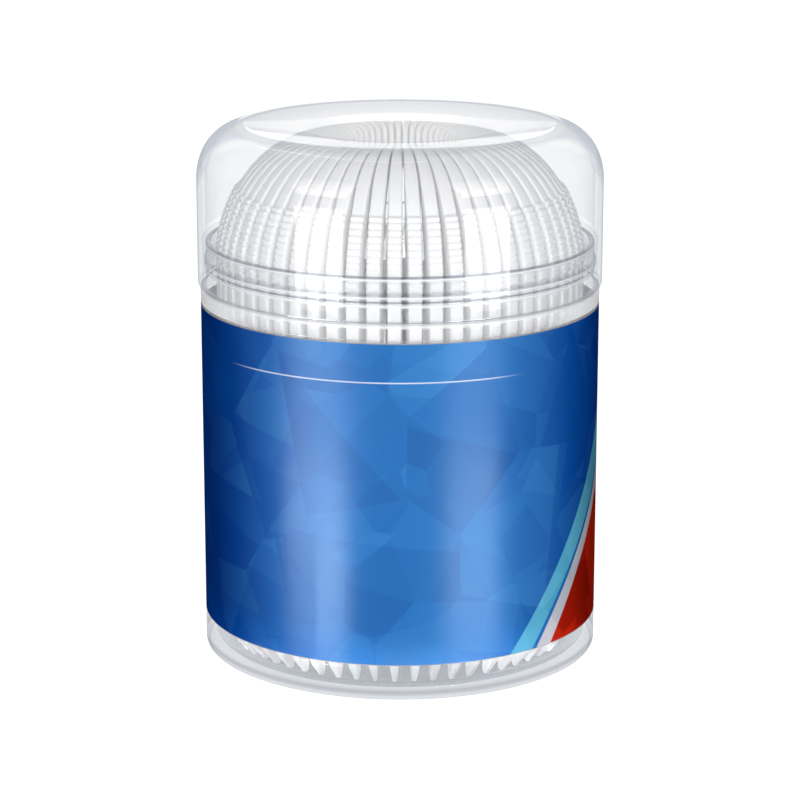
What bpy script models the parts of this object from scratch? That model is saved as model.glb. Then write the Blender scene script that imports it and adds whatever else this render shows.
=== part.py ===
"""Floss pick canister: a clear round body with a press-fit domed lid, a printed sleeve
around the body, and a ring of floss picks standing tail-down inside.

Metres, +Z up. The origin is the middle of the base, on the plane the canister stands on.
-Y is the front. Each pick is flat and lies in its own radial plane: its back faces the
wall and its strand faces the axis.
"""

import math

import bmesh
import bpy
from mathutils import Matrix, Vector

# ---------------------------------------------------------------- driving dimensions
SEGMENTS = 48  # facets round every turned piece, the same so that gaps stay even

# body
BODY_R = 0.03100  # outer wall
PANEL_R = 0.03055  # wall under the sleeve, set back so that the sleeve lies flush
INNER_R = 0.02950  # inside of the wall
PANEL_Z = (0.00525, 0.05535)
FOOT_IN, FOOT_OUT = 0.02640, 0.02890  # flat ring that the canister stands on
FOOT_RISE = 0.00030  # how far the middle of the base is raised off the table
FLOOR_TOP = 0.00110
SHOULDER_Z = 0.05780  # ledge that the lid comes down to
NECK_R, NECK_IN, NECK_TOP = 0.03010, 0.02930, 0.06480
BEAD_R, BEAD_Z = 0.03035, (0.06100, 0.06210)  # snap bead round the neck

# sleeve
SLEEVE_IN, SLEEVE_OUT = 0.03085, 0.03100
SLEEVE_Z = (0.00550, 0.05510)

# lid
LID_R, LID_IN = 0.03140, 0.03060
LID_BOTTOM, LID_TOP = 0.05810, 0.08260
SHOULDER_W, SHOULDER_H, SHOULDER_N = 0.00720, 0.00840, 2.1  # rounded shoulder
RIM_IN = 0.02310  # inner edge of the raised top rim
DISH = 0.00070  # depth of the dished top inside the rim
CEILING = 0.00080  # thickness of the dished top

# picks
PICKS = 57
FIRST_PICK = math.radians(-1.7)  # from the front, towards +X
PITCH = 2 * math.pi / PICKS
PICK_T = 0.00205  # thickness of a pick's handle
PICK_GAP = 0.00030  # least gap between two picks, where they crowd towards the axis
TAIL_R, TAIL_Z = 0.02640, 0.00140  # where the pointed tail stands
TAIL_T = 0.00075  # thickness of the tail's tip
BACK_R = 0.02850  # outer edge of the grip
BOW_Z, BOW_C = 0.05950, 0.01310  # the back curves in above this height, about this radius
BOW_TOP = 0.08080
BOW_W = 0.00340  # width of the bow's back
GRIP_Z = 0.05500  # where the grip begins, above the handle's waist
STRAND = (0.01030, 0.07790, 0.01350, 0.06280)  # r, z of its upper and its lower end
STRAND_R = 0.00022


# ---------------------------------------------------------------- helpers
def clear_scene():
    for ob in list(bpy.data.objects):
        bpy.data.objects.remove(ob, do_unlink=True)


def material(name, colour, roughness, transmission=0.0, ior=1.49):
    mat = bpy.data.materials.new(name)
    mat.use_nodes = True
    shader = mat.node_tree.nodes["Principled BSDF"]
    shader.inputs["Base Color"].default_value = (*colour, 1.0)
    shader.inputs["Roughness"].default_value = roughness
    shader.inputs["Metallic"].default_value = 0.0
    shader.inputs["Transmission Weight"].default_value = transmission
    shader.inputs["IOR"].default_value = ior
    mat.diffuse_color = (*colour, 1.0)
    return mat


def add_object(name, mesh, mat, location=(0, 0, 0), turn=0.0):
    ob = bpy.data.objects.new(name, mesh)
    bpy.context.scene.collection.objects.link(ob)
    if not mesh.materials:
        mesh.materials.append(mat)
    ob.location = location
    ob.rotation_euler = (0, 0, turn)
    return ob


def turned(name, profile, closed=False):
    """A mesh turned about Z from (radius, height) points. An open profile starts and ends on the axis."""
    bm = bmesh.new()
    verts = [bm.verts.new((r, 0, z)) for r, z in profile]
    pairs = list(zip(verts, verts[1:]))
    if closed:
        pairs.append((verts[-1], verts[0]))
    edges = [bm.edges.new(p) for p in pairs]
    bmesh.ops.spin(
        bm,
        geom=verts + edges,
        cent=(0, 0, 0),
        axis=(0, 0, 1),
        angle=2 * math.pi,
        steps=SEGMENTS,
        use_merge=True,
    )
    bmesh.ops.remove_doubles(bm, verts=bm.verts[:], dist=1e-7)
    bmesh.ops.recalc_face_normals(bm, faces=bm.faces[:])
    mesh = bpy.data.meshes.new(name)
    bm.to_mesh(mesh)
    bm.free()
    mesh.shade_smooth()
    mesh.set_sharp_from_angle(angle=math.radians(30))
    return mesh


def ellipse(cx, cz, a, b, start, end, count, power=2.0):
    """Points of a superellipse's quarter, by angle in degrees from +r towards +z."""
    points = []
    for i in range(count):
        t = math.radians(start + (end - start) * i / (count - 1))
        c, s = max(math.cos(t), 0.0), max(math.sin(t), 0.0)
        points.append((cx + a * c ** (2 / power), cz + b * s ** (2 / power)))
    return points


def arc(cx, cz, radius, start, end, count):
    """Points of a round corner, by angle in degrees."""
    return [
        (
            cx + radius * math.cos(math.radians(start + (end - start) * i / (count - 1))),
            cz + radius * math.sin(math.radians(start + (end - start) * i / (count - 1))),
        )
        for i in range(count)
    ]


# ---------------------------------------------------------------- body
def body_profile():
    foot = ellipse(FOOT_OUT, 0.0, BODY_R - FOOT_OUT, 0.0019, 0, 90, 4)
    # the corner between the foot and the wall, from the foot up
    corner = [(r, 0.0019 - z) for r, z in foot][::-1]
    low, high = PANEL_Z
    step = 0.00025
    return (
        [(0.0, FOOT_RISE), (FOOT_IN - 0.0004, FOOT_RISE), (FOOT_IN, 0.0)]
        + corner
        + [
            (BODY_R, low - step),
            (PANEL_R, low),
            (PANEL_R, high),
            (BODY_R, high + step),
            (BODY_R, SHOULDER_Z - 0.0004),
            (BODY_R - 0.0004, SHOULDER_Z),
            (NECK_R, SHOULDER_Z),
            (NECK_R, BEAD_Z[0] - 0.0003),
            (BEAD_R, BEAD_Z[0]),
            (BEAD_R, BEAD_Z[1]),
            (NECK_R, BEAD_Z[1] + 0.0003),
            (NECK_R, NECK_TOP - 0.0003),
            (NECK_R - 0.0003, NECK_TOP),
            (NECK_IN + 0.0002, NECK_TOP),
            (NECK_IN, NECK_TOP - 0.0003),
            (NECK_IN, SHOULDER_Z - 0.0002),
            (INNER_R, SHOULDER_Z - 0.0010),
            (INNER_R, 0.0030),
            (INNER_R - 0.0006, 0.0017),
            (INNER_R - 0.0019, FLOOR_TOP),
            (0.0, FLOOR_TOP),
        ]
    )


# ---------------------------------------------------------------- lid
def lid_profile():
    outer = ellipse(
        LID_R - SHOULDER_W,
        LID_TOP - SHOULDER_H,
        SHOULDER_W,
        SHOULDER_H,
        90,
        0,
        8,
        SHOULDER_N,
    )
    wall = LID_R - LID_IN
    inner = ellipse(
        LID_R - SHOULDER_W,
        LID_TOP - SHOULDER_H,
        SHOULDER_W - wall,
        SHOULDER_H - wall,
        0,
        90,
        7,
        SHOULDER_N,
    )
    dish = LID_TOP - DISH
    return (
        [(0.0, dish), (RIM_IN - 0.0005, dish), (RIM_IN, LID_TOP - 0.0002), (RIM_IN + 0.0003, LID_TOP)]
        + outer
        + [
            (LID_R, LID_BOTTOM + 0.0003),
            (LID_R - 0.0003, LID_BOTTOM),
            (LID_IN + 0.0002, LID_BOTTOM),
            (LID_IN, LID_BOTTOM + 0.0003),
        ]
        + inner
        + [(RIM_IN - 0.0006, dish - CEILING), (0.0, dish - CEILING)]
    )


# ---------------------------------------------------------------- picks
def pick_outline():
    """The pick's flat outline as (radius, height), from the tail's tip up its outer edge."""
    tail = arc(TAIL_R, TAIL_Z + 0.00060, 0.00060, 200, 340, 3)
    outer = [
        (0.02830, 0.00335),
        (0.02900, 0.00440),
        (0.02920, 0.00560),
        (0.02915, 0.01600),
        (0.02860, 0.03600),
        (0.02740, 0.05150),
        (BACK_R - 0.00045, GRIP_Z - 0.00130),
        (BACK_R, GRIP_Z + 0.00010),
    ]
    back = ellipse(BOW_C, BOW_Z, BACK_R - BOW_C, BOW_TOP - BOW_Z, 0, 90, 8)
    top_arm = [
        (0.01060, BOW_TOP - 0.00005),
        (0.00960, BOW_TOP - 0.00070),
        (0.00930, BOW_TOP - 0.00210),
        (0.01010, BOW_TOP - 0.00330),
    ]
    inside = ellipse(
        BOW_C,
        BOW_Z + 0.00230,
        BACK_R - BOW_C - BOW_W,
        BOW_TOP - BOW_Z - 0.00230 - 0.00290,
        90,
        8,
        6,
    )
    low_arm = [
        (0.02390, 0.06160),
        (0.02050, 0.06180),
        (0.01480, 0.06390),
        (0.01310, 0.06390),
        (0.01250, 0.06290),
        (0.01310, 0.06190),
        (0.01900, 0.05930),
        (0.02300, 0.05690),
    ]
    inner = [
        (0.02410, 0.05260),
        (0.02510, 0.03600),
        (0.02610, 0.01600),
        (0.02645, 0.00700),
        (0.02625, 0.00450),
    ]
    return tail + outer + back + top_arm + inside + low_arm + inner


def pick_thickness(r, z):
    """Full thickness at a point: thinner towards the axis, where the picks crowd, and at the tail."""
    crowd = PITCH * r - PICK_GAP
    if z < 0.006:
        tail = TAIL_T + (0.00170 - TAIL_T) * (z - TAIL_Z) / (0.006 - TAIL_Z)
    elif z < 0.012:
        tail = 0.00170 + (PICK_T - 0.00170) * (z - 0.006) / 0.006
    else:
        tail = PICK_T
    return min(PICK_T, crowd, tail)


def pick_mesh():
    flat = bmesh.new()
    flat.faces.new([flat.verts.new((r, 0, z)) for r, z in pick_outline()])
    crowd_r = (PICK_T + PICK_GAP) / PITCH
    # cuts where the thickness starts to change, so that each side stays made of flat facets
    for point, normal in (
        ((crowd_r, 0, 0), (1, 0, 0)),
        ((0, 0, 0.006), (0, 0, 1)),
        ((0, 0, 0.012), (0, 0, 1)),
    ):
        bmesh.ops.bisect_plane(
            flat,
            geom=flat.verts[:] + flat.edges[:] + flat.faces[:],
            dist=1e-7,
            plane_co=point,
            plane_no=normal,
        )
    flat.verts.index_update()
    bm = bmesh.new()
    sides = [
        [
            bm.verts.new(
                (v.co.x - TAIL_R, sign * pick_thickness(v.co.x, v.co.z) / 2, v.co.z)
            )
            for v in flat.verts
        ]
        for sign in (-1, 1)
    ]
    for face in flat.faces:
        loop = [v.index for v in face.verts]
        bm.faces.new([sides[0][i] for i in loop])
        bm.faces.new([sides[1][i] for i in reversed(loop)])
    for edge in flat.edges:
        if edge.is_boundary:
            a, b = edge.verts[0].index, edge.verts[1].index
            bm.faces.new([sides[0][a], sides[0][b], sides[1][b], sides[1][a]])
    flat.free()
    bmesh.ops.recalc_face_normals(bm, faces=bm.faces[:])
    mesh = bpy.data.meshes.new("pick_frame")
    bm.to_mesh(mesh)
    bm.free()
    return mesh


def strand_mesh():
    """The strand, with its ends set into the two arms."""
    r0, z0, r1, z1 = STRAND
    a, b = Vector((r0 - TAIL_R, 0, z0)), Vector((r1 - TAIL_R, 0, z1))
    along = (b - a).normalized()
    a, b = a - along * 0.0004, b + along * 0.0003
    bm = bmesh.new()
    turn = Vector((0, 0, 1)).rotation_difference(along).to_matrix().to_4x4()
    bmesh.ops.create_cone(
        bm,
        cap_ends=True,
        segments=4,
        radius1=STRAND_R,
        radius2=STRAND_R,
        depth=(b - a).length,
        matrix=Matrix.Translation((a + b) / 2) @ turn,
    )
    mesh = bpy.data.meshes.new("strand")
    bm.to_mesh(mesh)
    bm.free()
    return mesh


def finished_pick():
    """Frame and moulded-in strand as one body."""
    frame = add_object("frame_blank", pick_mesh(), None)
    strand = add_object("strand_blank", strand_mesh(), None)
    strand.hide_render = True
    strand.display_type = "WIRE"
    join = frame.modifiers.new("strand", "BOOLEAN")
    join.operation = "UNION"
    join.solver = "EXACT"
    join.object = strand
    graph = bpy.context.evaluated_depsgraph_get()
    mesh = bpy.data.meshes.new_from_object(frame.evaluated_get(graph))
    mesh.name = "pick"
    mesh.materials.clear()
    mesh.shade_smooth()
    mesh.set_sharp_from_angle(angle=math.radians(30))
    for ob in (frame, strand):
        bpy.data.objects.remove(ob, do_unlink=True)
    return mesh


# ---------------------------------------------------------------- assembly
def main():
    clear_scene()
    clear_plastic = material("clear_plastic", (0.93, 0.95, 0.97), 0.05, transmission=0.9)
    lid_plastic = material("lid_plastic", (0.92, 0.94, 0.96), 0.05, transmission=0.9)
    printed_film = material("printed_film", (0.02, 0.16, 0.50), 0.30)
    white_plastic = material("white_plastic", (0.86, 0.86, 0.86), 0.35)

    add_object("canister_body", turned("canister_body", body_profile()), clear_plastic)
    low, high = SLEEVE_Z
    add_object(
        "label_sleeve",
        turned(
            "label_sleeve",
            [(SLEEVE_IN, low), (SLEEVE_OUT, low), (SLEEVE_OUT, high), (SLEEVE_IN, high)],
            closed=True,
        ),
        printed_film,
    )
    add_object("lid", turned("lid", lid_profile()), lid_plastic)

    mesh = finished_pick()
    for i in range(PICKS):
        turn = FIRST_PICK + i * PITCH - math.pi / 2
        add_object(
            f"pick_{i + 1:02d}",
            mesh,
            white_plastic,
            location=(TAIL_R * math.cos(turn), TAIL_R * math.sin(turn), 0),
            turn=turn,
        )
    bpy.context.view_layer.update()


main()
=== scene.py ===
import math

import bmesh
import bpy
import numpy as np
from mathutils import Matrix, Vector
from mathutils.geometry import tessellate_polygon


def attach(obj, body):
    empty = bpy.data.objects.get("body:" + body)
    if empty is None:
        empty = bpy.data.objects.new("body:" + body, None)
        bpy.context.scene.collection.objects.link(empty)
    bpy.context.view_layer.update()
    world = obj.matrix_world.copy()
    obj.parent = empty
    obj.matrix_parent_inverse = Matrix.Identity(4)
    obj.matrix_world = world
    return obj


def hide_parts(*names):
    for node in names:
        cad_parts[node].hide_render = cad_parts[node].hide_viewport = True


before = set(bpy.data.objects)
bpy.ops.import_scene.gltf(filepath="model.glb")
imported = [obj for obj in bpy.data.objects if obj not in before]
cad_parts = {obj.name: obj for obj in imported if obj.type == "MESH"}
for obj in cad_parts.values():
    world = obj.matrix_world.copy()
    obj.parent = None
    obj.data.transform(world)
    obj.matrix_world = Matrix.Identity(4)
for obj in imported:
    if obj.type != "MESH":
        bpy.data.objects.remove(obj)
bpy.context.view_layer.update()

MM = 0.001
R = 31.0  # sleeve's radius, in mm; the camera was fitted in this unit

# ------------------------------------------------------------------ camera
CAM_DIST, CAM_HEIGHT, CAM_PITCH = 14.0 * R, 4.886 * R, 14.57
cam_data = bpy.data.cameras.new("camera")
cam_data.sensor_width = 36.0
cam_data.lens = 2848.0 / 800.0 * 36.0
cam_data.clip_start, cam_data.clip_end = 0.01, 50.0
cam = bpy.data.objects.new("camera", cam_data)
bpy.context.scene.collection.objects.link(cam)
cam.location = (0.0, -CAM_DIST * MM, CAM_HEIGHT * MM)
cam.rotation_euler = (math.radians(90.0 - CAM_PITCH), 0.0, 0.0)
bpy.context.scene.camera = cam


# ------------------------------------------------------------------ shape helpers (all in mm)
def rounded(points, step=12.0):
    """A polyline of (r, z, radius) with each corner rounded to its radius."""
    out = []
    n = len(points)
    for i, (r, z, rad) in enumerate(points):
        if rad <= 0 or i in (0, n - 1):
            out.append((r, z))
            continue
        p, a, b = Vector((r, z)), Vector(points[i - 1][:2]), Vector(points[i + 1][:2])
        u, v = (a - p), (b - p)
        lu, lv = u.length, v.length
        u.normalize(), v.normalize()
        ang = math.acos(max(-1.0, min(1.0, u.dot(v))))
        if math.pi - ang < 1e-3:
            out.append((r, z))
            continue
        cut = min(rad / math.tan(ang / 2), 0.49 * lu, 0.49 * lv)
        rr = cut * math.tan(ang / 2)
        centre = p + (u + v).normalized() * (rr / math.sin(ang / 2))
        s, e = p + u * cut - centre, p + v * cut - centre
        turn = math.atan2(s.x * e.y - s.y * e.x, s.dot(e))
        count = max(2, int(math.ceil(math.degrees(abs(turn)) / step)))
        for k in range(count + 1):
            t = turn * k / count
            c, q = math.cos(t), math.sin(t)
            out.append((centre.x + s.x * c - s.y * q, centre.y + s.x * q + s.y * c))
    return out


def super_arc(cx, cz, a, b, start, end, count, power):
    out = []
    for i in range(count):
        t = math.radians(start + (end - start) * i / (count - 1))
        c, s = max(math.cos(t), 0.0), max(math.sin(t), 0.0)
        out.append((cx + a * c ** (2 / power), cz + b * s ** (2 / power)))
    return out


def densify(points, longest):
    """Adds points on long straight stretches and close to both their ends, so that shading stays even on the flats."""
    out = [points[0]]
    for a, b in zip(points, points[1:]):
        d = math.dist(a, b)
        steps = [k / (int(d // longest) + 1) for k in range(1, int(d // longest) + 1)]
        if d > 0.5:
            steps = [0.05 / d] + steps + [1 - 0.05 / d]
        for t in steps:
            out.append((a[0] + (b[0] - a[0]) * t, a[1] + (b[1] - a[1]) * t))
        out.append(b)
    return out


def new_object(name, mesh):
    ob = bpy.data.objects.new(name, mesh)
    bpy.context.scene.collection.objects.link(ob)
    return ob


def turned(name, profile, segments=144, closed=False):
    """A smooth turned mesh from (r, z) points in mm. An open profile starts and ends on the axis."""
    verts, faces, rows = [], [], []
    for r, z in profile:
        if r < 1e-6:
            rows.append([len(verts)])
            verts.append((0, 0, z * MM))
        else:
            rows.append(list(range(len(verts), len(verts) + segments)))
            for k in range(segments):
                t = 2 * math.pi * k / segments
                verts.append((r * MM * math.cos(t), r * MM * math.sin(t), z * MM))
    pairs = list(zip(rows, rows[1:]))
    if closed:
        pairs.append((rows[-1], rows[0]))
    for a, b in pairs:
        for k in range(segments):
            j = (k + 1) % segments
            if len(a) == 1:
                faces.append((a[0], b[j], b[k]))
            elif len(b) == 1:
                faces.append((a[k], a[j], b[0]))
            else:
                faces.append((a[k], a[j], b[j], b[k]))
    mesh = bpy.data.meshes.new(name)
    mesh.from_pydata(verts, [], faces)
    bm = bmesh.new()
    bm.from_mesh(mesh)
    bmesh.ops.recalc_face_normals(bm, faces=bm.faces[:])
    bm.to_mesh(mesh)
    bm.free()
    mesh.shade_smooth()
    return mesh


def spline(points, step):
    """A centripetal Catmull-Rom curve through points, sampled about every step mm. Ends included."""
    pts = [Vector(p) for p in points]
    pts = [pts[0] * 2 - pts[1]] + pts + [pts[-1] * 2 - pts[-2]]
    out = []
    for i in range(1, len(pts) - 2):
        p0, p1, p2, p3 = pts[i - 1 : i + 3]
        t0 = 0.0
        t1 = t0 + max((p1 - p0).length, 1e-6) ** 0.5
        t2 = t1 + max((p2 - p1).length, 1e-6) ** 0.5
        t3 = t2 + max((p3 - p2).length, 1e-6) ** 0.5
        n = max(1, int(round((p2 - p1).length / step)))
        for k in range(n):
            t = t1 + (t2 - t1) * k / n
            a1 = p0 * ((t1 - t) / (t1 - t0)) + p1 * ((t - t0) / (t1 - t0))
            a2 = p1 * ((t2 - t) / (t2 - t1)) + p2 * ((t - t1) / (t2 - t1))
            a3 = p2 * ((t3 - t) / (t3 - t2)) + p3 * ((t - t2) / (t3 - t2))
            b1 = a1 * ((t2 - t) / (t2 - t0)) + a2 * ((t - t0) / (t2 - t0))
            b2 = a2 * ((t3 - t) / (t3 - t1)) + a3 * ((t - t1) / (t3 - t1))
            out.append(tuple(b1 * ((t2 - t) / (t2 - t1)) + b2 * ((t - t1) / (t2 - t1))))
    out.append(tuple(pts[-2]))
    return out


# ------------------------------------------------------------------ node helpers
def nodes_of(name):
    mat = bpy.data.materials.new(name)
    mat.use_nodes = True
    nt = mat.node_tree
    return mat, nt, nt.nodes["Principled BSDF"]


def add(nt, kind, **inputs):
    node = nt.nodes.new(kind)
    for key, value in inputs.items():
        setattr(node, key, value)
    return node


def math_node(nt, op, a, b=None, c=None, clamp=False):
    node = nt.nodes.new("ShaderNodeMath")
    node.operation = op
    node.use_clamp = clamp
    for i, v in enumerate((a, b, c)):
        if v is None:
            continue
        if isinstance(v, (int, float)):
            node.inputs[i].default_value = v
        else:
            nt.links.new(v, node.inputs[i])
    return node.outputs[0]


def mix_colour(nt, fac, a, b, blend="MIX"):
    node = nt.nodes.new("ShaderNodeMix")
    node.data_type = "RGBA"
    node.blend_type = blend
    if isinstance(fac, (int, float)):
        node.inputs[0].default_value = fac
    else:
        nt.links.new(fac, node.inputs[0])
    for i, v in ((6, a), (7, b)):
        if isinstance(v, tuple):
            node.inputs[i].default_value = (*v[:3], 1.0)
        else:
            nt.links.new(v, node.inputs[i])
    return node.outputs[2]


def ramp(nt, fac, stops, mode="LINEAR"):
    node = nt.nodes.new("ShaderNodeValToRGB")
    node.color_ramp.interpolation = mode
    els = node.color_ramp.elements
    while len(els) < len(stops):
        els.new(0.5)
    for el, (pos, col) in zip(els, stops):
        el.position = pos
        el.color = (*col[:3], 1.0) if isinstance(col, tuple) else (col, col, col, 1.0)
    nt.links.new(fac, node.inputs[0])
    return node.outputs[0]


# ------------------------------------------------------------------ materials
def smooth(nt, value, lo, hi, to_lo=0.0, to_hi=1.0):
    node = nt.nodes.new("ShaderNodeMapRange")
    node.interpolation_type = "SMOOTHSTEP"
    nt.links.new(value, node.inputs["Value"])
    node.inputs["From Min"].default_value = lo
    node.inputs["From Max"].default_value = hi
    node.inputs["To Min"].default_value = to_lo
    node.inputs["To Max"].default_value = to_hi
    return node.outputs["Result"]


def bands(nt, value, stops, low=0.0, high=84.0):
    """A linear ramp with stops given in the value's own unit (mm)."""
    unit = math_node(nt, "DIVIDE", math_node(nt, "SUBTRACT", value, low), high - low, clamp=True)
    return ramp(nt, unit, [((z - low) / (high - low), v) for z, v in stops])


def pulses(spans, soft=0.06, peak=1.0):
    """Stops of a ramp that is peak inside each span and nothing outside."""
    out = [(0.0, 0.0)]
    for lo, hi in spans:
        out += [(lo - soft, 0.0), (lo + soft, peak), (hi - soft, peak), (hi + soft, 0.0)]
    return out


CLEAR = (0.994, 0.995, 0.997)


def clear_plastic(name, seed, wall=None, outline=True, outline_colour=(0.76, 0.79, 0.83), shoulder=False, base_mirror=0.045, shade_bands=None, dark=None, white=None, painted_glow=None, rough=(0.012, 0.030)):
    """Thin clear plastic: mostly see-through, with a mirror share that grows at grazing angles.

    wall darkens upright faces seen at a slant from their open side, partly as the length of plastic in view
    grows and partly as painted shade that keeps the upright wall darker than the tilted shoulder; shade_bands,
    dark, white and painted_glow are bands by height of painted shade, painted highlight and painted glow,
    for the places where an edge or fillet gathers or holds back light; shoulder widens the outline on the
    tighter curve above the wall.
    """
    mat = bpy.data.materials.new(name)
    mat.use_nodes = True
    nt = mat.node_tree
    nt.nodes.remove(nt.nodes["Principled BSDF"])
    out = nt.nodes["Material Output"]
    coord = add(nt, "ShaderNodeTexCoord")
    sep = add(nt, "ShaderNodeSeparateXYZ")
    nt.links.new(coord.outputs["Object"], sep.inputs[0])
    height = math_node(nt, "MULTIPLY", sep.outputs[2], 1000.0)
    noise = add(nt, "ShaderNodeTexNoise")
    noise.noise_dimensions = "4D"
    noise.inputs["W"].default_value = seed
    noise.inputs["Scale"].default_value = 55.0
    noise.inputs["Detail"].default_value = 1.0
    nt.links.new(coord.outputs["Object"], noise.inputs["Vector"])
    bump = add(nt, "ShaderNodeBump")
    bump.inputs["Strength"].default_value = 0.10
    bump.inputs["Distance"].default_value = 0.0002
    nt.links.new(noise.outputs["Fac"], bump.inputs["Height"])
    weight = add(nt, "ShaderNodeLayerWeight")
    weight.inputs["Blend"].default_value = 0.5
    facing = weight.outputs["Facing"]
    geo = add(nt, "ShaderNodeNewGeometry")
    nsep = add(nt, "ShaderNodeSeparateXYZ")
    nt.links.new(geo.outputs["Normal"], nsep.inputs[0])
    level = math_node(nt, "ABSOLUTE", nsep.outputs[2])
    near_side = math_node(nt, "MULTIPLY_ADD", geo.outputs["Backfacing"], -0.65, 1.0)

    colour = None
    if wall:
        # partly the longer path through the plastic, partly painted shade: upright walls darker than the tilted
        # shoulder
        slant = smooth(nt, facing, 0.04, 0.34)
        upright = smooth(nt, level, 0.12, 0.30, 1.0, 0.0)
        open_side = math_node(nt, "MULTIPLY_ADD", geo.outputs["Backfacing"], -0.85, 1.0)
        amount = math_node(nt, "MULTIPLY", math_node(nt, "MULTIPLY", slant, upright), open_side)
        colour = mix_colour(nt, amount, CLEAR, wall)
    if shade_bands:
        # painted shade by height, with lighter gaps where a fillet would catch light
        by_height = bands(nt, height, shade_bands)
        colour = by_height if colour is None else mix_colour(nt, 1.0, colour, by_height, "MULTIPLY")
    if outline:
        turn = facing
        if shoulder:
            squares = [math_node(nt, "MULTIPLY", side, side) for side in sep.outputs[:2]]
            wide = math_node(nt, "SQRT", math_node(nt, "ADD", *squares))
            on_curve = math_node(nt, "MULTIPLY", smooth(nt, height, 73.0, 78.0), smooth(nt, wide, 0.0250, 0.0262))
            turn = math_node(nt, "MULTIPLY_ADD", on_curve, 0.20, facing)
        rim = smooth(nt, turn, 0.84, 0.95)
        colour = mix_colour(nt, rim, colour or CLEAR, outline_colour)
    if dark:
        # painted shade: dark lines where an edge or bead would hold back light
        colour = mix_colour(nt, math_node(nt, "MULTIPLY", bands(nt, height, dark), near_side), colour or CLEAR, (0.36, 0.39, 0.44))

    clear = add(nt, "ShaderNodeBsdfTransparent")
    if colour is None:
        clear.inputs["Color"].default_value = (*CLEAR, 1.0)
    else:
        nt.links.new(colour, clear.inputs["Color"])
    gloss = add(nt, "ShaderNodeBsdfGlossy")
    gloss.inputs["Color"].default_value = (1, 1, 1, 1)
    nt.links.new(smooth(nt, noise.outputs["Fac"], 0.3, 0.7, *rough), gloss.inputs["Roughness"])
    nt.links.new(bump.outputs["Normal"], gloss.inputs["Normal"])
    share = math_node(nt, "MULTIPLY_ADD", math_node(nt, "POWER", facing, 5.0), 0.9 if outline else 0.10, base_mirror)
    share = math_node(nt, "MINIMUM", share, 0.32)
    mix = add(nt, "ShaderNodeMixShader")
    nt.links.new(share, mix.inputs[0])
    nt.links.new(clear.outputs[0], mix.inputs[1])
    nt.links.new(gloss.outputs[0], mix.inputs[2])
    last = mix
    if white:
        # painted highlights: a lit white surface laid over the bands where a fillet would catch light
        edge = add(nt, "ShaderNodeBsdfPrincipled")
        edge.inputs["Base Color"].default_value = (0.95, 0.96, 0.97, 1.0)
        edge.inputs["Roughness"].default_value = 0.15
        over = add(nt, "ShaderNodeMixShader")
        amount = math_node(nt, "MULTIPLY", bands(nt, height, white), near_side)
        if painted_glow:
            # painted glow: the slanted outer faces of a band turn white where the dark inside would show through
            outer = math_node(nt, "MULTIPLY_ADD", geo.outputs["Backfacing"], -1.0, 1.0)
            slanted = math_node(nt, "MULTIPLY", smooth(nt, facing, 0.25, 0.60), outer)
            amount = math_node(nt, "MAXIMUM", amount, math_node(nt, "MULTIPLY", bands(nt, height, painted_glow), slanted))
        nt.links.new(amount, over.inputs[0])
        nt.links.new(mix.outputs[0], over.inputs[1])
        nt.links.new(edge.outputs[0], over.inputs[2])
        last = over
    nt.links.new(last.outputs[0], out.inputs["Surface"])
    return mat


def frosted_floor():
    """The canister's floor, faintly grained on its inside."""
    mat, nt, p = nodes_of("clear_floor")
    coord = add(nt, "ShaderNodeTexCoord")
    noise = add(nt, "ShaderNodeTexNoise")
    noise.inputs["Scale"].default_value = 2600.0
    noise.inputs["Detail"].default_value = 3.0
    nt.links.new(coord.outputs["Object"], noise.inputs["Vector"])
    tone = ramp(nt, noise.outputs["Fac"], [(0.35, (0.50, 0.52, 0.54)), (0.65, (0.57, 0.59, 0.61))])
    nt.links.new(tone, p.inputs["Base Color"])
    p.inputs["Roughness"].default_value = 0.45
    p.inputs["Specular IOR Level"].default_value = 0.2
    clear = add(nt, "ShaderNodeBsdfTransparent")
    # the grain fades out into the thicker corner, which holds back more light
    sep = add(nt, "ShaderNodeSeparateXYZ")
    nt.links.new(coord.outputs["Object"], sep.inputs[0])
    squares = [math_node(nt, "MULTIPLY", part, part) for part in sep.outputs[:2]]
    wide = math_node(nt, "SQRT", math_node(nt, "ADD", *squares))
    mix = add(nt, "ShaderNodeMixShader")
    nt.links.new(mix_colour(nt, smooth(nt, wide, 0.0245, 0.0282), (0.90, 0.91, 0.925), (0.88, 0.89, 0.905)), clear.inputs["Color"])
    nt.links.new(smooth(nt, wide, 0.0225, 0.0293, 0.38, 0.05), mix.inputs[0])
    nt.links.new(clear.outputs[0], mix.inputs[1])
    nt.links.new(p.outputs[0], mix.inputs[2])
    nt.links.new(mix.outputs[0], nt.nodes["Material Output"].inputs["Surface"])
    return mat


def white_plastic():
    mat, nt, p = nodes_of("white_plastic")
    coord = add(nt, "ShaderNodeTexCoord")
    noise = add(nt, "ShaderNodeTexNoise")
    noise.inputs["Scale"].default_value = 900.0
    noise.inputs["Detail"].default_value = 2.0
    nt.links.new(coord.outputs["Object"], noise.inputs["Vector"])
    tone = ramp(nt, noise.outputs["Fac"], [(0.3, (0.915, 0.916, 0.918)), (0.7, (0.94, 0.94, 0.941))])
    nt.links.new(tone, p.inputs["Base Color"])
    nt.links.new(smooth(nt, noise.outputs["Fac"], 0.3, 0.7, 0.40, 0.52), p.inputs["Roughness"])
    p.inputs["IOR"].default_value = 1.5
    p.inputs["Specular IOR Level"].default_value = 0.35
    return mat


def strand_fibre():
    mat, nt, p = nodes_of("strand_fibre")
    coord = add(nt, "ShaderNodeTexCoord")
    wave = add(nt, "ShaderNodeTexWave")
    wave.bands_direction = "DIAGONAL"
    wave.inputs["Scale"].default_value = 900.0
    nt.links.new(coord.outputs["Object"], wave.inputs["Vector"])
    tone = ramp(nt, wave.outputs["Fac"], [(0.0, (0.78, 0.80, 0.82)), (1.0, (0.93, 0.94, 0.95))])
    nt.links.new(tone, p.inputs["Base Color"])
    p.inputs["Roughness"].default_value = 0.55
    return mat


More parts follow.
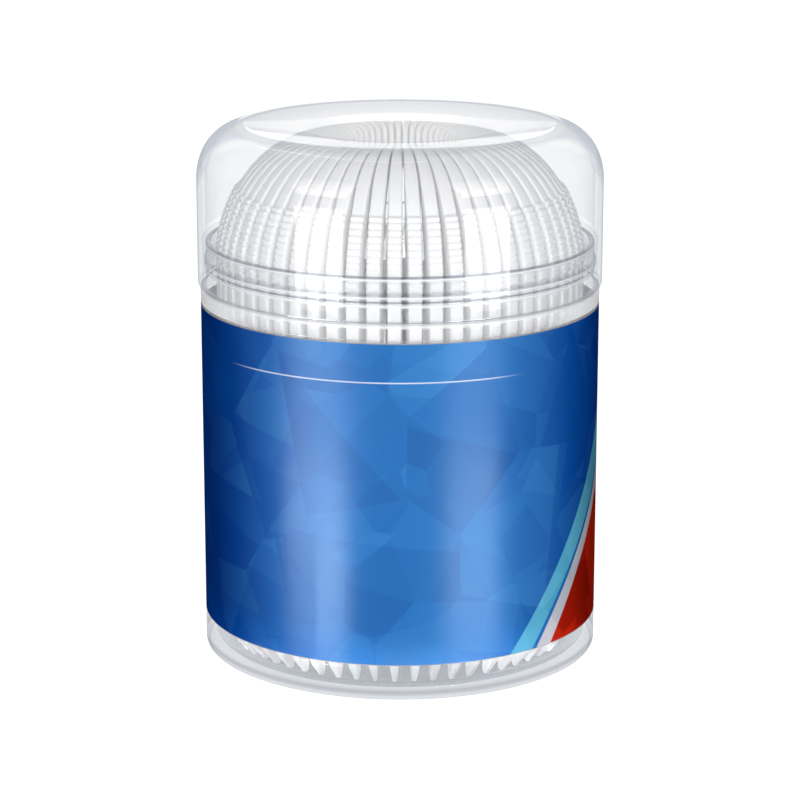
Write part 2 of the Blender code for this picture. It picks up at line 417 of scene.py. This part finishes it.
def facets(nt, vector, seed, scale, slope):
    """Tone of a facet pattern: an even tone for each cell and a gentle slope across it."""
    cell = add(nt, "ShaderNodeTexVoronoi")
    cell.voronoi_dimensions = "3D"
    cell.feature = "F1"
    cell.inputs["Scale"].default_value = scale
    cell.inputs["Randomness"].default_value = 1.0
    shift = add(nt, "ShaderNodeVectorMath", operation="ADD")
    shift.inputs[1].default_value = (seed * 7.31, seed * 3.17, 0.0)
    nt.links.new(vector, shift.inputs[0])
    nt.links.new(shift.outputs[0], cell.inputs["Vector"])
    tone = add(nt, "ShaderNodeSeparateXYZ")
    nt.links.new(cell.outputs["Color"], tone.inputs[0])
    # a direction of its own for each cell's slope
    away = add(nt, "ShaderNodeVectorMath", operation="SUBTRACT")
    nt.links.new(shift.outputs[0], away.inputs[0])
    nt.links.new(cell.outputs["Position"], away.inputs[1])
    lean = add(nt, "ShaderNodeVectorMath", operation="SUBTRACT")
    nt.links.new(cell.outputs["Color"], lean.inputs[0])
    lean.inputs[1].default_value = (0.5, 0.5, 0.5)
    dot = add(nt, "ShaderNodeVectorMath", operation="DOT_PRODUCT")
    nt.links.new(away.outputs[0], dot.inputs[0])
    nt.links.new(lean.outputs[0], dot.inputs[1])
    # a straight fold through each cell splits it into a lighter and a deeper shard, always on the slant
    swing = math_node(nt, "MULTIPLY_ADD", tone.outputs[2], 1.9, 0.32)
    swing = math_node(nt, "MULTIPLY_ADD", math_node(nt, "GREATER_THAN", tone.outputs[2], 0.5), 0.62, swing)
    cross = add(nt, "ShaderNodeCombineXYZ")
    nt.links.new(math_node(nt, "COSINE", swing), cross.inputs[0])
    nt.links.new(math_node(nt, "SINE", swing), cross.inputs[1])
    over = add(nt, "ShaderNodeVectorMath", operation="DOT_PRODUCT")
    nt.links.new(away.outputs[0], over.inputs[0])
    nt.links.new(cross.outputs[0], over.inputs[1])
    split = smooth(nt, over.outputs["Value"], -0.12, 0.12, -0.22, 0.22)
    flat_tone = math_node(nt, "ADD", math_node(nt, "SUBTRACT", tone.outputs[0], 0.5), split)
    return math_node(nt, "ADD", flat_tone, math_node(nt, "MULTIPLY", dot.outputs["Value"], slope * scale))


def printed_film():
    mat, nt, p = nodes_of("printed_film")
    coord = add(nt, "ShaderNodeTexCoord")
    sep = add(nt, "ShaderNodeSeparateXYZ")
    nt.links.new(coord.outputs["Object"], sep.inputs[0])
    x, y, z = sep.outputs
    # angle from the front, positive towards +X, in degrees; height in mm
    angle = math_node(nt, "MULTIPLY", math_node(nt, "ARCTAN2", x, math_node(nt, "MULTIPLY", y, -1.0)), 180 / math.pi)
    height = math_node(nt, "MULTIPLY", z, 1000.0)
    # the film laid flat, tilted a little so that no facet's edge stands upright
    flat = add(nt, "ShaderNodeCombineXYZ")
    along = math_node(nt, "MULTIPLY", angle, R * math.pi / 180)
    nt.links.new(math_node(nt, "MULTIPLY_ADD", height, 0.21, along), flat.inputs[0])
    nt.links.new(math_node(nt, "MULTIPLY_ADD", along, -0.21, height), flat.inputs[1])
    flat = flat.outputs[0]

    # blue ground with painted shade: bright round the front and the back, deep at the sides
    side = math_node(nt, "ABSOLUTE", math_node(nt, "SUBTRACT", angle, 5.0))
    ground_and_shade = bands(
        nt,
        side,
        [(0, (0.014, 0.142, 0.435)), (22, (0.012, 0.135, 0.430)), (45, (0.0045, 0.078, 0.330)), (56, (0.0020, 0.046, 0.245)), (70, (0.0007, 0.022, 0.155)), (90, (0.0004, 0.015, 0.110)),
         (104, (0.0020, 0.046, 0.245)), (122, (0.0045, 0.078, 0.330)), (150, (0.012, 0.135, 0.430)), (180, (0.014, 0.142, 0.435))],
        0.0,
        180.0,
    )
    tone = math_node(nt, "ADD", facets(nt, flat, 1.0, 0.050, 0.45), math_node(nt, "MULTIPLY", facets(nt, flat, 2.0, 0.085, 0.40), 0.6))
    # painted shade: the lighter facets fade out at the sides too
    lit = math_node(nt, "MAXIMUM", smooth(nt, side, 38.0, 72.0, 1.0, 0.22), smooth(nt, side, 108.0, 142.0, 0.22, 1.0))
    light = math_node(nt, "MULTIPLY", math_node(nt, "MULTIPLY", tone, 0.20, clamp=True), lit)
    deep = math_node(nt, "MULTIPLY", tone, -0.50, clamp=True)
    blue = mix_colour(nt, light, ground_and_shade, (0.09, 0.38, 0.76))
    blue = mix_colour(nt, deep, blue, (0.0010, 0.050, 0.23))

    # a swoosh of plain stripes, the same on both sides of a middle at 104 degrees
    fold = math_node(nt, "SUBTRACT", 104.0, math_node(nt, "ABSOLUTE", math_node(nt, "SUBTRACT", angle, 104.0)))
    rise = math_node(nt, "SUBTRACT", height, 5.8)
    rise2 = math_node(nt, "MULTIPLY", rise, rise)

    def beyond(start, slope, bend, soft=0.25):
        edge = math_node(nt, "ADD", math_node(nt, "MULTIPLY_ADD", rise, slope, start), math_node(nt, "MULTIPLY", rise2, bend))
        return smooth(nt, math_node(nt, "SUBTRACT", fold, edge), -soft, soft)

    cyan_tone = mix_colour(nt, math_node(nt, "ADD", math_node(nt, "MULTIPLY", tone, 0.5), 0.5, clamp=True), (0.055, 0.30, 0.50), (0.11, 0.44, 0.62))
    silver_tone = mix_colour(nt, math_node(nt, "ADD", math_node(nt, "MULTIPLY", tone, 0.5), 0.5, clamp=True), (0.42, 0.44, 0.50), (0.60, 0.61, 0.65))
    red_tone = mix_colour(nt, math_node(nt, "ADD", math_node(nt, "MULTIPLY", tone, 0.8), 0.45, clamp=True), (0.30, 0.008, 0.002), (0.58, 0.020, 0.006))
    colour = mix_colour(nt, beyond(32.9, 1.50, 0.0), blue, cyan_tone)
    colour = mix_colour(nt, beyond(40.7, 1.35, 0.012), colour, (0.010, 0.125, 0.43))
    colour = mix_colour(nt, beyond(42.4, 1.35, 0.012), colour, silver_tone)
    colour = mix_colour(nt, beyond(48.2, 1.30, 0.012), colour, red_tone)
    # painted shade on the stripes, deepest at the sides
    turn = math_node(nt, "ABSOLUTE", angle)
    shade = math_node(nt, "MAXIMUM", smooth(nt, turn, 48.0, 78.0, 1.0, 0.42), smooth(nt, turn, 86.0, 112.0, 0.42, 0.90))
    colour = mix_colour(nt, beyond(32.9, 1.50, 0.0), colour, mix_colour(nt, 1.0, colour, shade, "MULTIPLY"))

    # a fine rule that fades out at both ends, and the pale cut edges of the film
    ends = math_node(nt, "MULTIPLY", smooth(nt, angle, -56.0, -38.0), smooth(nt, angle, 22.0, 37.0, 1.0, 0.0))
    rule = math_node(nt, "ABSOLUTE", math_node(nt, "SUBTRACT", height, 49.2))
    rule = math_node(nt, "MULTIPLY", smooth(nt, rule, 0.05, 0.15, 1.0, 0.0), ends)
    colour = mix_colour(nt, math_node(nt, "MULTIPLY", rule, 0.60), colour, (0.90, 0.93, 0.97))
    edge = math_node(nt, "MAXIMUM", smooth(nt, height, 54.98, 55.04), smooth(nt, height, 5.58, 5.66, 1.0, 0.0))
    colour = mix_colour(nt, edge, colour, (0.40, 0.36, 0.33))
    nt.links.new(colour, p.inputs["Base Color"])

    sheen = add(nt, "ShaderNodeTexNoise")
    sheen.inputs["Scale"].default_value = 45.0
    sheen.inputs["Detail"].default_value = 1.0
    nt.links.new(coord.outputs["Object"], sheen.inputs["Vector"])
    nt.links.new(smooth(nt, sheen.outputs["Fac"], 0.3, 0.7, 0.31, 0.37), p.inputs["Roughness"])
    p.inputs["IOR"].default_value = 1.5
    p.inputs["Specular Tint"].default_value = (0.92, 1.0, 0.70, 1.0)
    weight = add(nt, "ShaderNodeLayerWeight")
    weight.inputs["Blend"].default_value = 0.5
    nt.links.new(smooth(nt, weight.outputs["Facing"], 0.05, 0.50, 0.26, 0.0), p.inputs["Specular IOR Level"])
    return mat


def film_back():
    """The film's unprinted white side."""
    mat, nt, p = nodes_of("film_back")
    coord = add(nt, "ShaderNodeTexCoord")
    noise = add(nt, "ShaderNodeTexNoise")
    noise.inputs["Scale"].default_value = 300.0
    noise.inputs["Detail"].default_value = 2.0
    nt.links.new(coord.outputs["Object"], noise.inputs["Vector"])
    nt.links.new(ramp(nt, noise.outputs["Fac"], [(0.3, (0.87, 0.87, 0.87)), (0.7, (0.91, 0.91, 0.91))]), p.inputs["Base Color"])
    p.inputs["Roughness"].default_value = 0.5
    return mat


# ------------------------------------------------------------------ shells
def with_zones(mesh, pick):
    """Gives each face the material index that pick(r, z, outward, up) returns: place in mm, then the normal's two parts."""
    for poly in mesh.polygons:
        c = poly.center / MM
        r = max(math.hypot(c.x, c.y), 1e-6)
        outward = (poly.normal.x * c.x + poly.normal.y * c.y) / r
        poly.material_index = pick(r, c.z, outward, poly.normal.z)
    return mesh


def body_mesh():
    pts = rounded(
        [
            (0.0, 0.3, 0),
            (26.0, 0.3, 0.15),
            (26.5, 0.0, 0.2),
            (31.0, 0.0, 0.6),
            (31.0, 5.15, 0.12),
            (30.6, 5.30, 0.12),
            (30.6, 55.30, 0.12),
            (31.0, 55.45, 0.12),
            (31.0, 57.8, 0.35),
            (30.1, 57.8, 0.25),
            (30.1, 60.8, 0.15),
            (30.35, 61.05, 0.12),
            (30.35, 62.05, 0.12),
            (30.1, 62.3, 0.15),
            (30.1, 64.8, 0.30),
            (29.3, 64.8, 0.30),
            (29.3, 57.6, 0.5),
            (29.5, 56.8, 0.5),
            (29.5, 1.1, 1.7),
            (0.0, 1.1, 0),
        ]
    )

    def zone(r, z, outward, up):
        if r < 29.45 and z < 2.9:
            return 2  # floor and its corner
        return 1 if r < 29.62 and z < 64.6 and z > 1.0 else 0

    return with_zones(turned("canister_shell", densify(pts, 4.0), 192), zone)


def lid_mesh():
    outer = super_arc(24.2, 74.2, 7.2, 8.4, 90, 0, 40, 2.1)
    inner = super_arc(24.2, 74.2, 5.9, 7.6, 0, 90, 34, 2.1)
    # flat in the middle, then ever steeper up to the crest
    dish, z, r = [(0.0, 81.92), (7.0, 81.92), (12.0, 81.925)], 81.925, 12.0
    while r < 23.4:
        slope = np.interp(r + 0.15, (12.0, 14.2, 15.0, 18.0, 21.4, 23.4), (0.002, 0.012, 0.032, 0.050, 0.078, 0.098))
        r, z = r + 0.3, z + slope * 0.3
        dish.append((r, z))
    dish += [(23.62, min(z + 0.03, 82.58)), (23.9, 82.6), (24.2, 82.6)]
    under = [(a * 0.985, b - 0.80) for a, b in dish[:-1]]
    skirt = rounded([(31.4, 74.2, 0), (31.4, 58.1, 0.3), (30.6, 58.1, 0.3), (30.6, 65.3, 0.3), (30.1, 66.2, 1.5), (30.1, 74.2, 0)])
    pts = dish[:-1] + outer + skirt[1:-1] + inner + under[::-1]

    def zone(r, z, outward, up):
        return 0 if outward + up > 0 or z < 58.4 else 1

    return with_zones(turned("lid_shell", densify(pts, 4.0), 192), zone)


# ------------------------------------------------------------------ picks
PICKS = 57
PITCH = 2 * math.pi / PICKS
FIRST = math.radians(-1.7)
T = 2.05
RIBS = (61.8, 72.96, 0.93)  # the ribbed part of the grip: from, to, pitch


def thickness(r, z):
    crowd = PITCH * r - 0.30
    if z < 6.0:
        tail = 0.75 + (1.70 - 0.75) * (z - 1.4) / 4.6
    elif z < 12.0:
        tail = 1.70 + (T - 1.70) * (z - 6.0) / 6.0
    else:
        tail = T
    return min(T, crowd, tail)


def pick_outline():
    """Dense outline in (r, z) mm, up the outer edge, and for each point how much of the rib pattern it takes."""
    pts = []
    for k in range(8):
        t = math.radians(195 + (345 - 195) * k / 7)
        pts.append((26.4 + 0.6 * math.cos(t), 2.0 + 0.6 * math.sin(t)))
    pts += spline(
        [(26.99, 1.9), (28.3, 3.35), (29.0, 4.4), (29.2, 5.6), (29.15, 16.0), (28.6, 36.0), (27.45, 51.2), (28.05, 53.7), (28.5, 55.3)],
        0.6,
    )
    pts += [(28.5, 56.6), (28.5, 58.0), (28.5, 59.5)]
    n = 400
    back = []
    for k in range(n + 1):
        t = math.pi / 2 * k / n
        back.append((13.1 + 15.4 * math.cos(t), 59.5 + 21.3 * math.sin(t)))
    last = back[0]
    ribs = {}
    for q in back[1:]:
        inside = RIBS[0] - 0.3 < q[1] < RIBS[1] + 0.3
        if math.dist(last, q) >= (0.125 if inside else 0.75) or q is back[-1]:
            ribs[len(pts)] = q[1]
            pts.append(q)
            last = q
    pts += spline([(12.2, 80.82), (10.7, 80.72), (9.65, 80.1), (9.3, 78.9), (9.55, 77.9), (10.3, 77.55), (11.6, 77.85)], 0.35)
    for k in range(1, 15):
        t = math.radians(90 - (90 - 6) * k / 15)
        pts.append((13.1 + 12.0 * math.cos(t), 61.8 + 16.1 * math.sin(t)))
    pts += spline(
        [(24.75, 62.6), (23.9, 61.75), (22.2, 61.6), (18.5, 62.6), (14.8, 63.85), (13.3, 63.95), (12.55, 63.3), (12.75, 62.2),
         (14.0, 61.45), (19.0, 59.3), (22.9, 56.9), (24.0, 53.0), (24.7, 44.0), (25.3, 32.0), (26.1, 16.0), (26.45, 7.0), (26.25, 4.5), (25.85, 2.4)],
        0.8,
    )
    return pts, ribs


def pick_mesh(mats):
    pts, ribs = pick_outline()
    n = len(pts)
    p = np.array(pts)
    nxt, prv = np.roll(p, -1, 0), np.roll(p, 1, 0)
    tan = nxt - prv
    tan /= np.maximum(np.linalg.norm(tan, axis=1), 1e-9)[:, None]
    normal = np.stack([tan[:, 1], -tan[:, 0]], 1)  # outwards, going up the outer edge
    bump = np.zeros(n)
    for i, z in ribs.items():
        lo, hi, pitch = RIBS
        if lo < z < hi:
            edge = min(1.0, (z - lo) / 0.5, (hi - z) / 0.5)
            bump[i] = edge * abs(math.sin(math.pi * (z - lo) / pitch)) ** 0.55
    core, p = p, p + normal * (0.45 * bump)[:, None]
    b = 0.36
    rings = []
    for sign in (-1, 1):
        part = [(b + 0.08, sign * T / 2)]
        for deg in (90, 66, 45, 22, 0):
            t = math.radians(deg)
            part.append((b * (1 - math.cos(t)), sign * (T / 2 - b * (1 - math.sin(t)))))
        rings += part if sign < 0 else part[::-1]
    verts, faces = [], []
    for off, yy in rings:
        # the ribs fade out over the rounded edge, so the flat sides keep a clean outline
        q = core + normal * (0.45 * bump * (1 - min(1.0, off / b) ** 2) - off)[:, None]
        for i in range(n):
            t = thickness(p[i, 0], p[i, 1]) / T
            verts.append(((q[i, 0]) * MM, yy * t * (1 + 0.05 * bump[i]) * MM, q[i, 1] * MM))
    for k in range(len(rings) - 1):
        for i in range(n):
            j = (i + 1) % n
            faces.append((k * n + i, k * n + j, (k + 1) * n + j, (k + 1) * n + i))
    mesh = bpy.data.meshes.new("pick_body")
    mesh.from_pydata(verts, [], faces)
    bm = bmesh.new()
    bm.from_mesh(mesh)
    bm.verts.ensure_lookup_table()
    inset = core - normal * rings[0][0]
    top = (len(rings) - 1) * n
    for i, j, k in tessellate_polygon([[Vector((x, z, 0.0)) for x, z in inset]]):
        bm.faces.new([bm.verts[i], bm.verts[j], bm.verts[k]])
        bm.faces.new([bm.verts[top + k], bm.verts[top + j], bm.verts[top + i]])
    # the strand, a slim tube of ten sides sagging a hair between the arms
    a, c = Vector((10.0, 0, 79.0)), Vector((13.55, 0, 62.4))
    along = (c - a).normalized()
    side = Vector((0, 1, 0))
    up = along.cross(side)
    loops = []
    for k in range(13):
        s = k / 12
        mid = a.lerp(c, s) - up * 0.05 * math.sin(math.pi * s)
        loops.append([bm.verts.new((mid + side * 0.24 * math.cos(w) + up * 0.16 * math.sin(w)) * MM) for w in [2 * math.pi * m / 10 for m in range(10)]])
    for la, lb in zip(loops, loops[1:]):
        for m in range(10):
            f = bm.faces.new([la[m], la[(m + 1) % 10], lb[(m + 1) % 10], lb[m]])
            f.material_index = 1
    for lp in (loops[0], loops[-1]):
        f = bm.faces.new(lp)
        f.material_index = 1
    bmesh.ops.recalc_face_normals(bm, faces=bm.faces[:])
    bm.to_mesh(mesh)
    bm.free()
    for m in mats:
        mesh.materials.append(m)
    mesh.shade_smooth()
    mesh.set_sharp_from_angle(angle=math.radians(50))
    return mesh


# ------------------------------------------------------------------ build the object
body = new_object("canister_shell", body_mesh())
# painted shade lines at the neck's bead and rim, each with a painted highlight line just below it, and one more painted
# highlight on the ledge's fillet
PAINTED_SHADE_LINES = pulses([(60.80, 61.10), (62.00, 62.32), (64.55, 64.90)])
PAINTED_HIGHLIGHT_LINES = pulses([(57.42, 57.86), (60.28, 60.68), (61.48, 61.84), (64.12, 64.50)], peak=0.8)
# painted shade over the foot: darkest where the floor's edge is seen end-on, lighter on the bottom fillet as a painted
# highlight, clear from the sleeve's foot up
BASE_PAINTED_SHADE = [(0.0, (0.72, 0.73, 0.75)), (0.20, (0.76, 0.77, 0.79)), (0.44, (0.89, 0.90, 0.91)), (0.84, (0.70, 0.71, 0.73)), (1.05, (0.57, 0.59, 0.62)), (1.40, (0.55, 0.57, 0.60)),
             (1.66, (0.72, 0.73, 0.75)), (2.05, (0.84, 0.85, 0.865)), (5.3, (0.88, 0.89, 0.90)), (5.4, CLEAR), (84.0, CLEAR)]
# painted light: the ring between the sleeve and the ledge turns white on its slanted outer faces
RING_PAINTED_GLOW = [(0.0, 0.0), (55.1, 0.0), (55.4, 0.88), (57.7, 0.88), (58.0, 0.0), (84.0, 0.0)]
body.data.materials.append(clear_plastic("clear_body", 1.0, outline_colour=(0.84, 0.86, 0.89), base_mirror=0.022, shade_bands=BASE_PAINTED_SHADE, dark=PAINTED_SHADE_LINES, white=PAINTED_HIGHLIGHT_LINES, painted_glow=RING_PAINTED_GLOW))
# the wall colour is partly painted shade on upright faces seen at a slant
body.data.materials.append(clear_plastic("clear_body_inside", 2.0, wall=(0.94, 0.945, 0.95), outline=False, base_mirror=0.004))
body.data.materials.append(frosted_floor())
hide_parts("canister_body")
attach(body, "canister")

lid = new_object("lid_shell", lid_mesh())
# painted shade: faint over the lid's shoulder, deeper on the outer dish and crest; the dark band at the skirt's foot is
# a painted shade line
LID_PAINTED_SHADE = [(0.0, CLEAR), (74.5, CLEAR), (77.5, (0.965, 0.967, 0.970)), (81.3, (0.965, 0.967, 0.970)), (81.9, CLEAR), (81.98, CLEAR), (82.12, (0.88, 0.89, 0.90)), (82.45, (0.83, 0.84, 0.855)), (84.0, (0.83, 0.84, 0.855))]
lid.data.materials.append(clear_plastic("clear_lid", 7.0, shoulder=True, shade_bands=LID_PAINTED_SHADE, dark=pulses([(58.02, 58.36)])))
# the wall colour is partly painted shade on upright faces seen at a slant
lid.data.materials.append(clear_plastic("clear_lid_inside", 8.0, wall=(0.885, 0.90, 0.915), outline=False, base_mirror=0.006))
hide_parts("lid")
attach(lid, "cap")

sleeve_pts = rounded([(30.85, 30.0, 0), (30.85, 5.5, 0.02), (31.0, 5.5, 0.05), (31.0, 55.1, 0.05), (30.85, 55.1, 0.02)])
sleeve = new_object("printed_sleeve", with_zones(turned("printed_sleeve", densify(sleeve_pts, 6.0), 192, closed=True), lambda r, z, outward, up: 1 if outward < -0.5 else 0))
sleeve.data.materials.append(printed_film())
sleeve.data.materials.append(film_back())
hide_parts("label_sleeve")
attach(sleeve, "canister")

pick_data = pick_mesh([white_plastic(), strand_fibre()])
for i in range(PICKS):
    node = f"pick_{i + 1:02d}"
    ob = new_object(f"floss_pick_{i + 1:02d}", pick_data)
    ob.rotation_euler = (0, 0, FIRST + i * PITCH - math.pi / 2)
    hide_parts(node)
    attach(ob, "drawn_pick" if i == 0 else "canister")

# ------------------------------------------------------------------ stage and light
floor_mesh = bpy.data.meshes.new("floor")
bm = bmesh.new()
bmesh.ops.create_circle(bm, cap_ends=True, segments=96, radius=6.0)
bm.to_mesh(floor_mesh)
bm.free()
floor = new_object("floor", floor_mesh)
floor.location = (0, 0, -0.0002)
fmat, fnt, fp = nodes_of("floor")
fp.inputs["Base Color"].default_value = (0.42, 0.42, 0.42, 1)
fp.inputs["Roughness"].default_value = 0.9
fp.inputs["Specular IOR Level"].default_value = 0.0
fp.inputs["Emission Color"].default_value = (1, 1, 1, 1)
fpath = add(fnt, "ShaderNodeLightPath")
fnt.links.new(math_node(fnt, "MULTIPLY_ADD", fpath.outputs["Is Camera Ray"], 0.52, 0.36), fp.inputs["Emission Strength"])
floor.data.materials.append(fmat)
floor.visible_glossy = False

world = bpy.data.worlds.new("studio")
bpy.context.scene.world = world
world.use_nodes = True
wn = world.node_tree
bg = wn.nodes["Background"]
coord = add(wn, "ShaderNodeTexCoord")
wsep = add(wn, "ShaderNodeSeparateXYZ")
wn.links.new(coord.outputs["Generated"], wsep.inputs[0])
path = add(wn, "ShaderNodeLightPath")
up = wsep.outputs[2]
front = math_node(wn, "MULTIPLY", wsep.outputs[1], -1.0)
# what mirrors see: a darker lower half, a soft upper half, and a bright strip low behind the object
seen = mix_colour(wn, smooth(wn, up, -0.05, 0.02), (0.42, 0.44, 0.47), (0.60, 0.61, 0.64))
second = math_node(wn, "MULTIPLY", smooth(wn, up, 0.135, 0.150), smooth(wn, up, 0.180, 0.200, 1.0, 0.0))
second = math_node(wn, "MULTIPLY", second, math_node(wn, "LESS_THAN", front, 0.0))
second = math_node(wn, "MULTIPLY", second, smooth(wn, math_node(wn, "ABSOLUTE", wsep.outputs[0]), 0.012, 0.040, 1.0, 0.0))
seen = mix_colour(wn, second, seen, (1.10, 1.10, 1.10))
strip = math_node(wn, "MULTIPLY", smooth(wn, up, -0.10, -0.08), smooth(wn, up, 0.105, 0.125, 1.0, 0.0))
strip = math_node(wn, "MULTIPLY", strip, math_node(wn, "LESS_THAN", front, 0.0))
strip = math_node(wn, "MULTIPLY", strip, smooth(wn, math_node(wn, "ABSOLUTE", wsep.outputs[0]), 0.075, 0.10, 1.0, 0.0))
seen = mix_colour(wn, strip, seen, (1.75, 1.75, 1.75))
# what lights matt surfaces: stronger from the front
fill = mix_colour(wn, smooth(wn, front, 0.40, 1.0), (0.19, 0.19, 0.19), (1.65, 1.65, 1.65))
fill = mix_colour(wn, smooth(wn, front, -0.85, -0.30, 1.0, 0.0), fill, (1.45, 1.45, 1.45))
sky = mix_colour(wn, path.outputs["Is Glossy Ray"], fill, seen)
sky = mix_colour(wn, path.outputs["Is Camera Ray"], sky, (1.05, 1.05, 1.05))
wn.links.new(sky, bg.inputs["Color"])
bg.inputs["Strength"].default_value = 1.0


def lamp(name, a, b, low, high, radiance, diffuse=True, glossy=True):
    """An upright rectangular light between plan points a and b (mm), from height low to high, facing the axis."""
    a, b = Vector(a) * MM, Vector(b) * MM
    width, tall = (b - a).length, (high - low) * MM
    mid = (a + b) / 2
    data = bpy.data.lights.new(name, "AREA")
    data.shape = "RECTANGLE"
    data.size, data.size_y = width, tall
    data.energy = radiance * width * tall * math.pi
    ob = bpy.data.objects.new(name, data)
    bpy.context.scene.collection.objects.link(ob)
    ob.location = (mid.x, mid.y, (low + high) / 2 * MM)
    along = (b - a).normalized()
    facing = Vector((-along.y, along.x, 0))
    if facing.dot(-Vector((mid.x, mid.y, 0))) < 0:
        facing = -facing
    ob.rotation_euler = Vector(facing).to_track_quat("-Z", "Y").to_euler()
    ob.visible_camera = False
    ob.visible_diffuse = diffuse
    ob.visible_glossy = glossy
    return ob


def overhead(name, location, target, width, height, radiance, diffuse=True, glossy=True):
    data = bpy.data.lights.new(name, "AREA")
    data.shape = "RECTANGLE"
    data.size, data.size_y = width, height
    data.energy = radiance * width * height * math.pi
    ob = bpy.data.objects.new(name, data)
    bpy.context.scene.collection.objects.link(ob)
    ob.location = location
    ob.rotation_euler = (Vector(target) - Vector(location)).to_track_quat("-Z", "Y").to_euler()
    ob.visible_camera = False
    ob.visible_diffuse = diffuse
    ob.visible_glossy = glossy
    return ob


# two window-like cards near the front, seen only as reflections, each with a bar across it and a soft top and foot
CARDS = (("card_left", (-145.8, -101.4), (-86.9, -158.0)), ("card_right", (98.0, -151.0), (150.5, -93.5)))
STEPS = ((-37.0, -25.0, 24.0, 0.10), (-25.0, 13.0, 8.0, 0.0), (26.5, 29.0, 2.5, 0.0), (29.0, 60.0, 5.0, 0.0), (109.0, 140.0, 3.8, 0.06), (140.0, 168.0, 2.2, 0.14), (168.0, 200.0, 1.2, 0.20))
for name, a, b in CARDS:
    for k, (low, high, radiance, extra) in enumerate(STEPS):
        more_a = more_b = extra
        if k < 2:
            radiance *= ((12.0, 3.0) if name == "card_left" else (7.0, 1.5))[k]
            more_a, more_b = (0.30, 0.0) if name == "card_left" else (0.38, -0.20)
        lamp(f"{name}_{k}", (a[0] + (a[0] - b[0]) * more_a, a[1] + (a[1] - b[1]) * more_a), (b[0] - (a[0] - b[0]) * more_b, b[1] - (a[1] - b[1]) * more_b), low, high, radiance, diffuse=False)
# soft key from both sides of the camera, for the matt surfaces
for side in (-1, 1):
    overhead(f"key_{side + 1}", (side * 0.20, -0.72, 0.15), (0, 0, 0.05), 0.36, 0.30, 3.9, glossy=False)
overhead("top_light", (0, 0.0, 0.52), (0, 0, 0.08), 0.30, 0.30, 0.85, glossy=False)
# a low slim light for the foot, too narrow to reach far up
foot = lamp("foot_light", (-50.0, -130.0), (50.0, -130.0), 0.5, 3.6, 2.6, glossy=False)
foot.data.spread = math.radians(10.0)
# a slim bent strip overhead, which draws the fine arc on the lid's shoulder
for k, (a, b) in enumerate((((-0.285, 0.535), (-0.105, 0.100)), ((-0.105, 0.100), (-0.012, 0.020)), ((-0.012, 0.020), (0.060, 0.066)))):
    a, b = Vector((*a, 0.5)), Vector((*b, 0.5))
    strip_light = overhead(f"arc_{k}", (a + b) / 2, (a + b) / 2 - Vector((0, 0, 1)), (b - a).length, 0.016, 3.2, diffuse=False)
    strip_light.rotation_euler = (0.0, 0.0, math.atan2(b.y - a.y, b.x - a.x))
# a faint glow in the open middle of the ring stands for the light that white plastic passes on
for z, power in ((0.030, 0.0038), (0.052, 0.0045)):
    data = bpy.data.lights.new("glow", "POINT")
    data.energy, data.shadow_soft_size = power, 0.006
    ob = bpy.data.objects.new("glow", data)
    bpy.context.scene.collection.objects.link(ob)
    ob.location = (0, 0, z)
    ob.visible_camera = ob.visible_glossy = False

scene = bpy.context.scene
scene.view_settings.view_transform = "Standard"
scene.cycles.max_bounces = 14
scene.cycles.diffuse_bounces = 12
scene.cycles.glossy_bounces = 4
scene.cycles.transparent_max_bounces = 32
